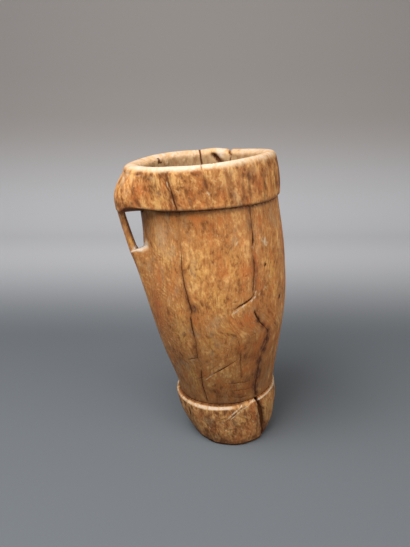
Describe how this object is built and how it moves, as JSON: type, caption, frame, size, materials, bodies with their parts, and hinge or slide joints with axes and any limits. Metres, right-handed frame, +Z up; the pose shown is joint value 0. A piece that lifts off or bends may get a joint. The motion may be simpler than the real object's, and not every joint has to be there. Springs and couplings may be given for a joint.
{
  "type": "carved wooden container",
  "caption": "Tall leaning barrel-shaped wooden vessel with a raised rim band, a strap handle and a swelling foot.",
  "frame": {"origin": "centre of the flat underside", "axes": "+Z up along the vessel's height, -X towards the handle's side, -Y the front"},
  "size_m": [0.2188, 0.1862, 0.3862],
  "materials": {
    "foot_wood": "dry, dark worn hardwood with pale rasp scratches and a chipped upper edge",
    "floor_wood": "dark, dusty hollowed wood",
    "wall_wood": "hand-smoothed, lightly greased hardwood, golden above and darker below, with fine upright grain",
    "handle_wood": "hardwood polished by handling, reddish in its hollows",
    "rim_wood": "hand-smoothed hardwood with a pale, rounded, worn lip"
  },
  "bodies": {
    "root": {"foot_band": "foot_wood", "floor": "floor_wood", "vessel_wall": "wall_wood", "handle": "handle_wood", "rim_band": "rim_wood"}
  },
  "joints": []
}
